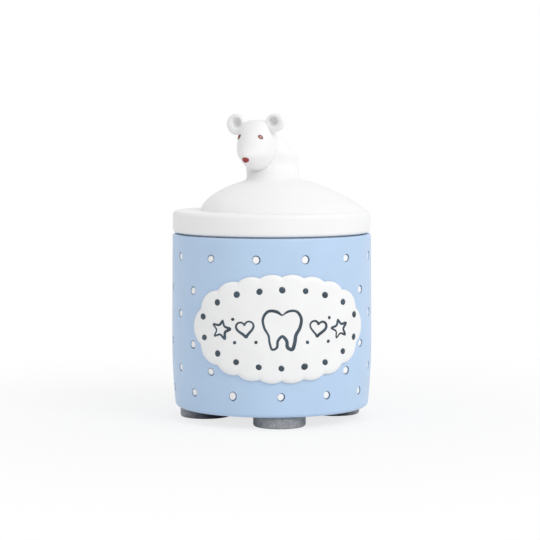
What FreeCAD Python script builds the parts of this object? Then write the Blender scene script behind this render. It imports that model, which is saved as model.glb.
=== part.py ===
"""Baby tooth box: a dotted pot on four pads, with a scalloped plaque and a lift-off lid that carries a mouse.

Millimetres, +Z up. The origin lies on the pot's axis, at the level of the surface it stands on. The front
of the pot faces -Y, and angles round the pot are counted from the front towards +X.
"""

import FreeCAD
import Part
import Sketcher
import math
import os

# The driving dimensions, in millimetres, with turns in degrees.
SIZES = {
    "foot_radius": 6.7,
    "foot_height": 3.05,
    "foot_edge_round": 0.6,
    "foot_inset": 0.05,
    "foot_front_turn": 6.4,
    "foot_right_turn": 107.0,
    "foot_back_turn": 187.0,
    "foot_left_turn": 270.0,
    "jar_height": 44.85,
    "jar_belly_radius": 26.0,
    "jar_belly_height": 17.3,
    "jar_rim_inset": 0.2,
    "jar_base_inset": 0.9,
    "jar_wall": 3.3,
    "jar_floor": 4.0,
    "jar_base_round": 1.1,
    "jar_rim_round": 0.5,
    "jar_bore_round": 2.0,
    "jar_mouth_chamfer": 0.3,
    "dot_radius": 1.0,
    "dot_depth": 0.45,
    "dot_enamel_thickness": 0.2,
    "dot_pitch": 12.5,
    "dot_turn": 19.0,
    "dot_rim_margin": 5.25,
    "dot_base_margin": 5.3,
    "dot_plaque_margin": 0.5,
    "plaque_width": 48.8,
    "plaque_height": 27.5,
    "plaque_thickness": 1.0,
    "plaque_turn": 5.5,
    "lobe_radius": 5.4,
    "lobe_pitch": 4.8,
    "stud_radius": 0.82,
    "stud_depth": 0.4,
    "stud_enamel_thickness": 0.25,
    "stud_side_margin": 3.2,
    "stud_top_margin": 3.85,
    "lid_inset": 0.1,
    "lid_thickness": 6.0,
    "lid_seat_width": 1.1,
    "lid_lip_gap": 0.35,
    "lid_top_round": 1.1,
    "lid_bottom_round": 0.9,
    "ring_wall": 2.0,
    "ring_drop": 3.5,
    "ring_groove_depth": 1.2,
    "ring_clearance": 0.3,
    "swivel_clearance": 0.15,
    "ledge_left": 7.2,
    "ledge_right": 0.9,
    "ledge_front": 5.2,
    "haunch_crest": 1.3,
    "haunch_height": 8.0,
    "haunch_skirt": 1.0,
    "torso_width": 14.0,
    "torso_depth": 12.8,
    "torso_root_depth": 1.5,
    "torso_crown_gap": 2.4,
    "torso_side_offset": 0.5,
    "torso_hump": 1.5,
    "torso_lean_left": 2.5,
    "torso_lean_front": 2.5,
    "head_width": 10.4,
    "head_length": 10.4,
    "head_height": 13.9,
    "head_rise": 9.6,
    "head_left": 3.65,
    "head_front": 3.0,
    "head_turn": 30.0,
    "muzzle_length": 1.6,
    "jaw_forward": 1.4,
    "jaw_tilt": 16.7,
    "jaw_root": 1.5,
    "ear_radius": 2.8,
    "ear_thickness": 2.2,
    "ear_dish_radius": 1.6,
    "ear_dish_depth": 1.35,
    "ear_overhang": 0.6,
    "ear_forward": 0.95,
    "ear_drop": 1.2,
    "eye_length": 1.5,
    "eye_height": 0.95,
    "eye_depth": 0.8,
    "bead_clearance": 0.05,
    "eye_drop": 4.5,
    "eye_turn": 39.5,
    "eye_slant": 35.0,
    "nose_width": 1.9,
    "nose_height": 1.55,
    "nose_depth": 1.3,
    "nose_rise": 3.55,
}

# The rows of dots were set by hand: how far up the dotted band each row sits.
DOT_ROWS = (0.0, 0.17, 0.357, 0.575, 0.757, 1.0)

# How much of the haunch's height each section lies at.
HAUNCH_LEVELS = (0.0, 0.2, 0.4, 0.6, 0.8, 1.0)

# The curve of the haunch runs on to this much of its height, above the level where the torso stands on it.
HAUNCH_CROWN = 1.085

# How full the haunch is on its chest side and on its rump side: 1 is a straight fall, 2 is round.
CHEST_FULLNESS = 1.6
RUMP_FULLNESS = 1.0

# The torso's sections: shares of its height, of its width at the foot, and of its hump.
TORSO_SECTIONS = (
    (0.0, 1.0, 0.0),
    (0.27, 0.92, 0.45),
    (0.5, 0.83, 1.0),
    (0.73, 0.65, 0.45),
    (0.92, 0.44, 0.1),
    (1.0, 0.26, 0.0),
)

# The head's sections from chin to crown: shares of its height and girth, of the muzzle's length, and of
# how far the jaw is set forward and tilted up.
HEAD_SECTIONS = (
    (0.0, 0.26, 0.2, 1.0, 1.0),
    (0.04, 0.42, 0.5, 1.0, 0.98),
    (0.09, 0.55, 0.8, 0.93, 0.91),
    (0.15, 0.66, 1.0, 0.82, 0.78),
    (0.22, 0.79, 0.97, 0.64, 0.59),
    (0.3, 0.9, 0.78, 0.43, 0.35),
    (0.4, 0.98, 0.56, 0.21, 0.1),
    (0.5, 1.0, 0.38, 0.07, 0.0),
    (0.62, 0.99, 0.19, 0.0, 0.0),
    (0.74, 0.94, 0.0, 0.0, 0.0),
    (0.85, 0.84, -0.19, 0.0, 0.0),
    (0.93, 0.71, -0.31, 0.0, 0.0),
    (1.0, 0.48, -0.31, 0.0, 0.0),
)

# The lobes of the plaque stand half a step past the studs, so each stud lies inside a notch.
LOBE_SHIFT = 0.5

# A cutting tool stands this far out of the face that it cuts.
CUT_ALLOWANCE = 1.0

# Two lengths closer than this are the same.
SAME_LENGTH = 0.001

FULL_TURN = 360.0
UP = FreeCAD.Vector(0, 0, 1)

document = FreeCAD.newDocument("tooth_box")


def write_sheet():
    """Put every driving dimension in a cell of its own, under its name."""
    sizes = document.addObject("Spreadsheet::Sheet", "sizes")
    for row, (name, value) in enumerate(SIZES.items(), 1):
        sizes.set(f"A{row}", name)
        sizes.set(f"B{row}", str(value))
        sizes.setAlias(f"B{row}", name)
    document.recompute()
    return sizes


sheet = write_sheet()


def size(name):
    """The value of one cell of the sheet."""
    return float(sheet.get(name))


def bind(thing, **expressions):
    """Tie properties of an object to the sheet."""
    for name, expression in expressions.items():
        thing.setExpression(name, expression)


def worked_out(expression):
    """The number that an expression on the sheet comes to."""
    return float(sheet.evalExpression(expression))


def named(kind, label):
    """A new object of the document under its label."""
    thing = document.addObject(kind, label)
    thing.Label = label
    return thing


def around(angle):
    """The level direction at an angle round the pot, counted from the front towards +X."""
    turn = math.radians(angle)
    return FreeCAD.Vector(math.sin(turn), -math.cos(turn), 0)


def origin_plane(body, role):
    """One of a body's own origin planes."""
    return next(plane for plane in body.Origin.OriginFeatures if plane.Role == role)


def new_sketch(body, name, role):
    """A sketch on one of a body's origin planes."""
    sketch = body.newObject("Sketcher::SketchObject", name)
    sketch.AttachmentSupport = [(origin_plane(body, role), "")]
    sketch.MapMode = "FlatFace"
    return sketch


def hold(sketch, kind, line, expression):
    """Hold the start of a line at a distance from the sketch's origin that the sheet gives."""
    number = sketch.addConstraint(Sketcher.Constraint(kind, -1, 1, line, 1, worked_out(expression)))
    sketch.setExpression(f"Constraints[{number}]", expression)


def tangent_arc(start, end, beyond):
    """The arc from start to end that runs smoothly into the line from end to beyond."""
    along = (beyond - end).normalize()
    inward = FreeCAD.Vector(-along.y, along.x, 0)
    chord = start - end
    radius = chord.dot(chord) / (2 * inward.dot(chord))
    center = end + inward * radius
    first = math.atan2(start.y - center.y, start.x - center.x)
    last = math.atan2(end.y - center.y, end.x - center.x)
    return Part.ArcOfCircle(Part.Circle(center, UP, radius), first, last)


def turned_body(label, corners, arc_from=None):
    """A body turned about the Z axis from a closed outline of (radius, level) corners, each an expression.

    The side that starts at corner number arc_from is an arc, which runs smoothly into the side after it.
    """
    body = named("PartDesign::Body", label)
    sketch = new_sketch(body, f"{label}_outline", "XZ_Plane")
    points = [FreeCAD.Vector(worked_out(radius), worked_out(level), 0) for radius, level in corners]
    count = len(points)
    for side in range(count):
        start, end = points[side], points[(side + 1) % count]
        if side == arc_from:
            sketch.addGeometry(tangent_arc(start, end, points[(side + 2) % count]))
        else:
            sketch.addGeometry(Part.LineSegment(start, end))
    for side in range(count):
        kind = "Tangent" if side == arc_from else "Coincident"
        sketch.addConstraint(Sketcher.Constraint(kind, side, 2, (side + 1) % count, 1))
    for side, (radius, level) in enumerate(corners):
        hold(sketch, "DistanceX", side, radius)
        hold(sketch, "DistanceY", side, level)
    turning = body.newObject("PartDesign::Revolution", f"{label}_turning")
    turning.Profile = sketch
    turning.ReferenceAxis = (sketch, ["V_Axis"])
    turning.Angle = FULL_TURN
    document.recompute()
    return body


def edge_ring(feature, radius, level):
    """The names of a feature's round edges of one radius at one level."""
    rings = []
    for number, edge in enumerate(feature.Shape.Edges, 1):
        curve = edge.Curve
        if not isinstance(curve, Part.Circle):
            continue
        if abs(curve.Radius - radius) < SAME_LENGTH and abs(curve.Center.z - level) < SAME_LENGTH:
            rings.append(f"Edge{number}")
    return rings


def dress_edge(body, kind, name, radius, level, amount):
    """Round or bevel the edge of a body that runs round the axis at (radius, level)."""
    base = (body.Tip, edge_ring(body.Tip, worked_out(radius), worked_out(level)))
    dressing = body.newObject(f"PartDesign::{kind}", name)
    dressing.Base = base
    dressing.setExpression("Radius" if kind == "Fillet" else "Size", amount)
    document.recompute()


def radial_cylinder(name, radius, length, angle, level, depth_radius):
    """A cylinder that points straight out of the pot, from depth_radius outwards."""
    cylinder = document.addObject("Part::Cylinder", name)
    bind(cylinder, Radius=radius, Height=length)
    outward = around(angle)
    place = outward * depth_radius + UP * level
    cylinder.Placement = FreeCAD.Placement(place, FreeCAD.Rotation(UP, outward))
    return cylinder


def group(kind, label, members):
    """Several solids under one label: a Part::Compound leaves them apart, a Part::MultiFuse joins them."""
    joined = named(kind, label)
    if kind == "Part::Compound":
        joined.Links = members
    else:
        joined.Shapes = members
    return joined


def boolean(kind, label, base, tool):
    """A Part::Cut or Part::Common of two objects."""
    result = named(kind, label)
    result.Base = base
    result.Tool = tool
    return result


JAR_BASE = "sizes.foot_height"
JAR_BELLY = f"{JAR_BASE} + sizes.jar_belly_height"
JAR_RIM = f"{JAR_BASE} + sizes.jar_height"
RIM_RADIUS = "(sizes.jar_belly_radius - sizes.jar_rim_inset)"
BASE_RADIUS = "(sizes.jar_belly_radius - sizes.jar_base_inset)"
BORE_RADIUS = f"{RIM_RADIUS} - sizes.jar_wall"
BORE_FLOOR = f"{JAR_BASE} + sizes.jar_floor"
WALL_MIDDLE = f"{RIM_RADIUS} - sizes.jar_wall / 2"


def wall_corners(thickness):
    """The corners of the pot's outer wall, laid over with a sheet of some thickness."""
    return [
        (f"{BASE_RADIUS} + {thickness}", JAR_BASE),
        (f"sizes.jar_belly_radius + {thickness}", JAR_BELLY),
        (f"{RIM_RADIUS} + {thickness}", JAR_RIM),
    ]


def wall_radius(level):
    """The radius of the pot's outer wall at a level."""
    base, belly, rim = (
        FreeCAD.Vector(worked_out(radius), worked_out(height), 0) for radius, height in wall_corners("0")
    )
    if level >= belly.y:
        return belly.x + (rim.x - belly.x) * (level - belly.y) / (rim.y - belly.y)
    circle = tangent_arc(base, belly, rim)
    return circle.Center.x + math.sqrt(circle.Radius**2 - (level - circle.Center.y) ** 2)


def make_jar_blank():
    """The pot before its dots are sunk: a turned wall and floor."""
    corners = [("0", JAR_BASE), *wall_corners("0"), (BORE_RADIUS, JAR_RIM), (BORE_RADIUS, BORE_FLOOR)]
    corners.append(("0", BORE_FLOOR))
    body = turned_body("jar_blank", corners, arc_from=1)
    dress_edge(body, "Fillet", "base_round", BASE_RADIUS, JAR_BASE, "sizes.jar_base_round")
    dress_edge(body, "Fillet", "rim_round", RIM_RADIUS, JAR_RIM, "sizes.jar_rim_round")
    dress_edge(body, "Fillet", "bore_round", BORE_RADIUS, BORE_FLOOR, "sizes.jar_bore_round")
    dress_edge(body, "Chamfer", "mouth_chamfer", BORE_RADIUS, JAR_RIM, "sizes.jar_mouth_chamfer")
    return body


def plaque_level():
    """The plaque sits half-way up the pot."""
    return worked_out(f"{JAR_BASE} + sizes.jar_height / 2")


def under_plaque(angle, level):
    """Whether a dot at this place would meet the plaque."""
    margin = size("dot_radius") + size("dot_plaque_margin")
    turn = (angle - size("plaque_turn") + FULL_TURN / 2) % FULL_TURN - FULL_TURN / 2
    along = math.radians(turn) * size("jar_belly_radius") / (size("plaque_width") / 2 + margin)
    up = (level - plaque_level()) / (size("plaque_height") / 2 + margin)
    return along**2 + up**2 < 1


def dot_places():
    """The angle and level of each dot, in staggered rows that stop short of the plaque."""
    lowest = worked_out(f"{JAR_BASE} + sizes.dot_base_margin")
    highest = worked_out(f"{JAR_RIM} - sizes.dot_rim_margin")
    count = round(2 * math.pi * size("jar_belly_radius") / size("dot_pitch"))
    step = FULL_TURN / count
    places = []
    for row, share in enumerate(DOT_ROWS):
        stagger = 0 if row % 2 else -step / 2
        for number in range(count):
            angle = size("dot_turn") + stagger + number * step
            level = lowest + share * (highest - lowest)
            if not under_plaque(angle, level):
                places.append((angle, level))
    return places


def make_jar_and_dots(blank):
    """The pot with its sunk dots, and the white enamel that lies in each of them."""
    hollows, enamel = [], []
    for number, (angle, level) in enumerate(dot_places()):
        seat = wall_radius(level) - size("dot_depth")
        reach = f"sizes.dot_depth + {CUT_ALLOWANCE}"
        hollows.append(radial_cylinder(f"dot_hollow_{number}", "sizes.dot_radius", reach, angle, level, seat))
        thickness = "sizes.dot_enamel_thickness"
        drop = radial_cylinder(f"dot_drop_{number}", "sizes.dot_radius", thickness, angle, level, seat)
        enamel.append(drop)
    shell = boolean("Part::Cut", "jar_shell", blank, group("Part::Compound", "dot_hollows", hollows))
    return [shell, group("Part::Compound", "wall_dots", enamel)]


def oval_stations(half_width, half_height, count, shift=0.0):
    """Points at even distances round an oval, as (along, up) pairs.

    The first lies at its top, or a share of a step past it.
    """
    fine = 720
    turns = [2 * math.pi * step / fine for step in range(fine + 1)]
    points = [(half_width * math.sin(turn), half_height * math.cos(turn)) for turn in turns]
    lengths = [0.0]
    for before, after in zip(points, points[1:]):
        lengths.append(lengths[-1] + math.dist(before, after))
    stations = []
    for number in range(count):
        wanted = lengths[-1] * (number + shift) / count
        stations.append(points[next(step for step in range(fine + 1) if lengths[step] >= wanted)])
    return stations


def plaque_stations(side_margin, top_margin, shift):
    """The angle and level of each lobe or stud of the plaque, drawn in from its outline by two margins."""
    half_width = size("plaque_width") / 2
    half_height = size("plaque_height") / 2
    lobe = size("lobe_radius")
    lobe_ring = oval_stations(half_width - lobe, half_height - lobe, 4)
    around_lobes = math.pi * (lobe_ring[0][1] + lobe_ring[1][0])
    count = 2 * round(around_lobes / size("lobe_pitch") / 2)
    stations = oval_stations(half_width - side_margin, half_height - top_margin, count, shift)
    arc_to_angle = math.degrees(1 / size("jar_belly_radius"))
    return [(size("plaque_turn") + along * arc_to_angle, plaque_level() + up) for along, up in stations]


def make_plaque_cutter():
    """The plaque's scalloped outline as a solid: an oval core with a ring of round lobes."""
    lobe = size("lobe_radius")
    inside = worked_out(BORE_RADIUS)
    reach = f"sizes.jar_belly_radius - ({BORE_RADIUS}) + sizes.plaque_thickness + {CUT_ALLOWANCE}"
    pieces = []
    for number, (angle, level) in enumerate(plaque_stations(lobe, lobe, LOBE_SHIFT)):
        name = f"plaque_lobe_{number}"
        pieces.append(radial_cylinder(name, "sizes.lobe_radius", reach, angle, level, inside))
    oval = document.addObject("Part::Ellipse", "plaque_oval")
    half_turn = "(sizes.plaque_width / 2 - sizes.lobe_radius) / sizes.jar_belly_radius * 180 / pi"
    bind(oval, MajorRadius=f"sizes.jar_belly_radius * sin({half_turn})")
    bind(oval, MinorRadius="sizes.plaque_height / 2 - sizes.lobe_radius")
    upright = FreeCAD.Rotation(FreeCAD.Vector(1, 0, 0), 90)
    swung = FreeCAD.Rotation(UP, size("plaque_turn"))
    oval.Placement = FreeCAD.Placement(UP * plaque_level(), swung * upright)
    core = document.addObject("Part::Extrusion", "plaque_core")
    core.Base = oval
    core.DirMode = "Custom"
    core.Dir = around(size("plaque_turn"))
    bind(core, LengthFwd=f"sizes.jar_belly_radius + sizes.plaque_thickness + {CUT_ALLOWANCE}")
    core.Solid = True
    return group("Part::MultiFuse", "plaque_cutter", [core, *pieces])


def make_plaque(blank):
    """The scalloped plaque bonded to the wall, and the dark studs in its border, one inside each notch."""
    corners = [(WALL_MIDDLE, JAR_BASE), *wall_corners("sizes.plaque_thickness"), (WALL_MIDDLE, JAR_RIM)]
    layer = turned_body("plaque_layer", corners, arc_from=1)
    slab = boolean("Part::Common", "plaque_slab", layer, make_plaque_cutter())
    sheet_piece = boolean("Part::Cut", "plaque_sheet", slab, blank)
    hollows, studs = [], []
    stations = plaque_stations(size("stud_side_margin"), size("stud_top_margin"), 0)
    for number, (angle, level) in enumerate(stations):
        seat = wall_radius(level) + size("plaque_thickness") - size("stud_depth")
        reach = f"sizes.stud_depth + {CUT_ALLOWANCE}"
        hollow = radial_cylinder(f"stud_hollow_{number}", "sizes.stud_radius", reach, angle, level, seat)
        hollows.append(hollow)
        thickness = "sizes.stud_enamel_thickness"
        stud = radial_cylinder(f"stud_{number}", "sizes.stud_radius", thickness, angle, level, seat)
        studs.append(stud)
    plaque = boolean("Part::Cut", "plaque", sheet_piece, group("Part::Compound", "stud_hollows", hollows))
    return [plaque, group("Part::Compound", "plaque_dots", studs)]


def make_foot(label, angle):
    """One round pad under the pot, its lower edge eased."""
    body = turned_body(
        label,
        [("0", "0"), ("sizes.foot_radius", "0"), ("sizes.foot_radius", JAR_BASE), ("0", JAR_BASE)],
    )
    dress_edge(body, "Fillet", f"{label}_edge", "sizes.foot_radius", "0", "sizes.foot_edge_round")
    flat_radius = worked_out(f"{BASE_RADIUS} - sizes.jar_base_round")
    pitch_radius = flat_radius - size("foot_inset") - size("foot_radius")
    body.Placement.Base = around(angle) * pitch_radius
    return body


LID_RADIUS = f"({RIM_RADIUS} - sizes.lid_inset)"
LID_SEAT = JAR_RIM
LID_TOP = f"{LID_SEAT} + sizes.lid_thickness"
RING_OUTER = f"{BORE_RADIUS} - sizes.ring_clearance"
RING_INNER = f"{RING_OUTER} - sizes.ring_wall"
RING_TOP = f"{LID_SEAT} + sizes.ring_groove_depth"


def make_lid_plate():
    """The lid's thick round plate, with a groove under it for the seat ring and a lip that clears the rim."""
    groove_inner = f"{RING_INNER} - sizes.swivel_clearance"
    groove_outer = f"{RING_OUTER} + sizes.swivel_clearance"
    seat_outer = f"{groove_outer} + sizes.lid_seat_width"
    lip = f"{LID_SEAT} + sizes.lid_lip_gap"
    corners = [
        ("0", LID_SEAT),
        (groove_inner, LID_SEAT),
        (groove_inner, RING_TOP),
        (groove_outer, RING_TOP),
        (groove_outer, LID_SEAT),
        (seat_outer, LID_SEAT),
        (seat_outer, lip),
        (LID_RADIUS, lip),
        (LID_RADIUS, LID_TOP),
        ("0", LID_TOP),
    ]
    body = turned_body("lid_plate", corners)
    dress_edge(body, "Fillet", "lid_top_edge", LID_RADIUS, LID_TOP, "sizes.lid_top_round")
    dress_edge(body, "Fillet", "lid_bottom_edge", LID_RADIUS, lip, "sizes.lid_bottom_round")
    return body


def make_seat_ring():
    """The ring that hangs from the lid's groove into the pot's mouth and keeps the lid centred."""
    bottom = f"{LID_SEAT} - sizes.ring_drop"
    corners = [(RING_INNER, bottom), (RING_OUTER, bottom), (RING_OUTER, RING_TOP), (RING_INNER, RING_TOP)]
    return turned_body("lid_seat_ring", corners)


def oval_section(name, half_x, half_y, place, seam=0):
    """A level oval, for lofts. Both halves are expressions, and the longer one leads.

    The seam is turned where two lofts meet, because seams that cross can spoil a cut.
    """
    oval = document.addObject("Part::Ellipse", name)
    lying = worked_out(half_x) >= worked_out(half_y)
    bind(oval, MajorRadius=half_x if lying else half_y, MinorRadius=half_y if lying else half_x)
    oval.Placement = FreeCAD.Placement(place, FreeCAD.Rotation(UP, seam if lying else seam + 90))
    return oval


def loft(label, sections):
    """A smooth solid through a stack of sections."""
    body = named("Part::Loft", label)
    body.Sections = sections
    body.Solid = True
    return body


def make_haunches(plate):
    """The mouse's crouching body: a mound over the plate, round at the chest and long at the rump."""
    top = worked_out(LID_TOP)
    crest = size("haunch_crest")
    reach_left = worked_out(f"{LID_RADIUS} - sizes.ledge_left") + crest
    reach_right = worked_out(f"{LID_RADIUS} - sizes.ledge_right") - crest
    sections = []
    for number, share in enumerate((-1, *HAUNCH_LEVELS)):
        spent = max(share, 0) / HAUNCH_CROWN
        left = reach_left * math.sqrt(1 - spent**CHEST_FULLNESS)
        right = reach_right * math.sqrt(1 - spent**RUMP_FULLNESS)
        level = top - size("haunch_skirt") if share < 0 else top + share * size("haunch_height")
        girth = (left + right) / (reach_left + reach_right)
        half_x = f"(2 * {LID_RADIUS} - sizes.ledge_left - sizes.ledge_right) / 2 * {girth}"
        half_y = f"({LID_RADIUS} - sizes.ledge_front) * {girth}"
        place = FreeCAD.Vector(crest + (right - left) / 2, 0, level)
        sections.append(oval_section(f"haunch_section_{number}", half_x, half_y, place, seam=180))
    blank = loft("haunch_blank", sections)
    return blank, boolean("Part::Cut", "mouse_haunches", blank, plate)


def make_torso_blank():
    """The mouse's upright shoulders, leaning towards its face, with a root that reaches into the haunches.

    They run up inside the head and end a gap below its crown.
    """
    foot = worked_out(LID_TOP) + size("haunch_height")
    tall = size("head_rise") + size("head_height") - size("torso_crown_gap") - size("haunch_height")
    sections = []
    root_share = -size("torso_root_depth") / tall
    for number, (share, girth, hump) in enumerate(((root_share, 1.0, 0.0), *TORSO_SECTIONS)):
        lean = max(share, 0)
        place = FreeCAD.Vector(
            size("torso_side_offset") - lean * size("torso_lean_left") + hump * size("torso_hump") / 2,
            -lean * size("torso_lean_front"),
            foot + share * tall,
        )
        half_x = f"sizes.torso_width / 2 * {girth} + sizes.torso_hump / 2 * {hump}"
        half_y = f"sizes.torso_depth / 2 * {girth}"
        sections.append(oval_section(f"torso_section_{number}", half_x, half_y, place))
    return loft("torso_blank", sections)


def head_frame():
    """Where the head stands: at its chin, with its own +X towards its nose."""
    chin = worked_out(LID_TOP) + size("head_rise")
    place = FreeCAD.Vector(-size("head_left"), -size("head_front"), chin)
    return FreeCAD.Placement(place, FreeCAD.Rotation(UP, -90 - size("head_turn")))


def make_head_blank():
    """The head as a blunt upright form from chin to crown, with a short muzzle and a jaw that rises to it."""
    sections = []
    for number, (share, girth, muzzle, forward, tilt) in enumerate(HEAD_SECTIONS):
        slope = tilt * size("jaw_tilt")
        ahead = muzzle * size("muzzle_length") / 2 + forward * size("jaw_forward")
        rise = (ahead + size("jaw_root")) * math.tan(math.radians(slope))
        place = FreeCAD.Vector(ahead, 0, share * size("head_height") + rise)
        half_x = f"sizes.head_length / 2 * {girth} + sizes.muzzle_length / 2 * {muzzle}"
        half_y = f"sizes.head_width / 2 * {girth}"
        oval = oval_section(f"head_section_{number}", half_x, half_y, FreeCAD.Vector())
        raised = FreeCAD.Rotation(FreeCAD.Vector(0, 1, 0), -slope)
        oval.Placement = head_frame() * FreeCAD.Placement(place, raised) * oval.Placement
        sections.append(oval)
    return loft("head_blank", sections)


def head_surface(head, angle, level):
    """The point of the head's skin at an angle from its nose and a level above its chin."""
    frame = head_frame()
    start = frame.multVec(UP * level)
    heading = frame.Rotation.multVec(FreeCAD.Rotation(UP, angle).multVec(FreeCAD.Vector(1, 0, 0)))
    outwards = Part.makeLine(start, start + heading * 2 * size("head_length"))
    return start + heading * outwards.common(head.Shape).Length


def bead(label, head, angle, level, width, height, depth, slant):
    """A small oval bead let half-way into the head, facing out at an angle from the nose, and its socket."""
    facing = FreeCAD.Rotation(UP, angle) * FreeCAD.Rotation(FreeCAD.Vector(1, 1, 1), 120)
    rolled = head_frame().Rotation * facing * FreeCAD.Rotation(UP, slant)
    ovals = []
    for name, room in ((label, "0"), (f"{label}_socket", "sizes.bead_clearance")):
        oval = named("Part::Ellipsoid", name)
        bind(oval, Radius1=f"{depth} / 2 + {room}")
        bind(oval, Radius2=f"{width} / 2 + {room}", Radius3=f"{height} / 2 + {room}")
        oval.Placement = FreeCAD.Placement(head_surface(head, angle, level), rolled)
        ovals.append(oval)
    return ovals


def make_ear(label, side, head):
    """A round ear with a dished front, let against the head."""
    cup = document.addObject("Part::Ellipsoid", f"{label}_cup")
    bind(cup, Radius1="sizes.ear_thickness / 2", Radius2="sizes.ear_radius", Radius3="sizes.ear_radius")
    dish = document.addObject("Part::Ellipsoid", f"{label}_dish")
    bind(dish, Radius1="sizes.ear_dish_depth")
    bind(dish, Radius2="sizes.ear_dish_radius", Radius3="sizes.ear_dish_radius")
    outward = side * (size("head_width") / 2 + size("ear_overhang"))
    level = size("head_height") - size("ear_drop")
    forward = FreeCAD.Rotation(FreeCAD.Vector(0, 1, 0), 90)
    place = head_frame() * FreeCAD.Placement(FreeCAD.Vector(size("ear_forward"), outward, level), forward)
    cup.Placement = place
    dish.Placement = place * FreeCAD.Placement(UP * size("ear_thickness") / 2, FreeCAD.Rotation())
    hollow = boolean("Part::Cut", f"{label}_hollow", cup, dish)
    return boolean("Part::Cut", label, hollow, head)


def make_mouse(plate):
    """The mouse on the lid: haunches, torso, head, ears, eyes and nose."""
    haunch_blank, haunches = make_haunches(plate)
    head_blank = make_head_blank()
    document.recompute()
    eye_level = size("head_height") - size("eye_drop")
    eye = ("sizes.eye_length", "sizes.eye_height", "sizes.eye_depth")
    turn, slant = size("eye_turn"), size("eye_slant")
    eye_left = bead("mouse_eye_left", head_blank, turn, eye_level, *eye, -slant)
    eye_right = bead("mouse_eye_right", head_blank, -turn, eye_level, *eye, slant)
    nose_sizes = ("sizes.nose_width", "sizes.nose_height", "sizes.nose_depth")
    nose = bead("mouse_nose", head_blank, 0, size("nose_rise"), *nose_sizes, 0)
    beads, sockets = zip(eye_left, eye_right, nose)
    hollows = group("Part::Compound", "face_sockets", list(sockets))
    head = boolean("Part::Cut", "mouse_head", head_blank, hollows)
    shoulders = boolean("Part::Cut", "shoulders", make_torso_blank(), haunch_blank)
    torso = boolean("Part::Cut", "mouse_torso", shoulders, head_blank)
    ears = [make_ear("mouse_ear_left", 1, head_blank), make_ear("mouse_ear_right", -1, head_blank)]
    return [haunches, torso, head, *ears, *beads]


def make_parts():
    """Every piece of the box."""
    blank = make_jar_blank()
    parts = [*make_jar_and_dots(blank), *make_plaque(blank)]
    for side in ("front", "right", "back", "left"):
        parts.append(make_foot(f"foot_{side}", size(f"foot_{side}_turn")))
    plate = make_lid_plate()
    parts.extend([plate, make_seat_ring(), *make_mouse(plate)])
    document.recompute()
    return parts


def check(parts):
    """Stop if any object of the document failed or any piece is not a sound solid."""
    for thing in document.Objects:
        if "Invalid" in thing.State or "Error" in thing.State:
            raise RuntimeError(f"{thing.Label} failed: {thing.State}")
    for part in parts:
        if part.Shape.isNull() or not part.Shape.isValid() or not part.Shape.Solids:
            raise RuntimeError(f"{part.Label} is not a sound solid")


def write_steps(parts):
    """One STEP file for each piece, under its label."""
    os.makedirs("parts", exist_ok=True)
    for part in parts:
        part.Shape.exportStep(f"parts/{part.Label}.step")
        print(f"{part.Label}: {len(part.Shape.Solids)} solid(s), {part.Shape.Volume:.2f} mm3")


pieces = make_parts()
check(pieces)
write_steps(pieces)
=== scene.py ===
"""The looks of the baby tooth box: painted pot, scalloped plaque, felt feet, and a lid with a resin mouse.

Lengths are in millimetres until a mesh is made, which is in metres. The front of the pot faces -Y, and angles
round the pot are counted from the front towards +X.
"""

import math
import random

import bpy
import numpy as np
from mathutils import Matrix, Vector, geometry, noise


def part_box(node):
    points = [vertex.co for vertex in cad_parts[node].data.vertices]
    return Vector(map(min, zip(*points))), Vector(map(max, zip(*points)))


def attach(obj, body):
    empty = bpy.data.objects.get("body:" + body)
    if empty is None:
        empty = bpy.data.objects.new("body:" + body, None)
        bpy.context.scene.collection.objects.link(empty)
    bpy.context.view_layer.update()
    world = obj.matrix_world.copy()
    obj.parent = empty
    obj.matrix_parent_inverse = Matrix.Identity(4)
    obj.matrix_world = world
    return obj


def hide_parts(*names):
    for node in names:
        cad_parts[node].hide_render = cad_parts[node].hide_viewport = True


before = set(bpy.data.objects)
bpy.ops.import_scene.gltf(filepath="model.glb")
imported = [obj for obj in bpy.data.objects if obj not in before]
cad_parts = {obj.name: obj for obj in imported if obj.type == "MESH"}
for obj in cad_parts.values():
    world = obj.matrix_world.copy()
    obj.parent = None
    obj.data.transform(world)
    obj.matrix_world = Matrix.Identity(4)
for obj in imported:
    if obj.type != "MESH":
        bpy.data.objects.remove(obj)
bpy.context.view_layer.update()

MM = 0.001
TURN = 2 * math.pi


def levels_of(node):
    """The lowest and highest level of a CAD node."""
    low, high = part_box(node)
    return low[2] / MM, high[2] / MM


# Levels that the frame gives.
BASE, RIM = levels_of("jar_shell")
LID_SEAT, LID_TOP = levels_of("lid_plate")

# The pot's wall.
BELLY_RADIUS = 26.0
RIM_RADIUS = 25.8
BASE_RADIUS = 25.1
BELLY_LEVEL = BASE + 17.3
BASE_ROUND = 1.1
RIM_ROUND = 0.5
BORE_RADIUS = 22.5
BORE_FLOOR = BASE + 4.0
BORE_ROUND = 2.0
MOUTH_BEVEL = 0.3

# The sunk dots of the wall.
DOT_RADIUS = 1.0
DOT_DEPTH = 0.5
DOT_COUNT = 13
DOT_TURN = 19.0
DOT_ROWS = (0.0, 0.17, 0.357, 0.575, 0.757, 1.0)
DOT_LOWEST = BASE + 5.3
DOT_HIGHEST = RIM - 5.25
DOT_MARGIN = 0.5

# The plaque.
PLAQUE_WIDTH = 48.8
PLAQUE_HEIGHT = 27.5
PLAQUE_THICKNESS = 1.0
PLAQUE_TURN = 5.5
PLAQUE_LEVEL = (BASE + RIM) / 2
LOBE_RADIUS = 5.4
LOBE_COUNT = 18
STUD_RADIUS = 0.82
STUD_DEPTH = 0.34
STUD_SIDE_MARGIN = 3.2
STUD_TOP_MARGIN = 3.85
STUD_STRAY = 0.22

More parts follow.
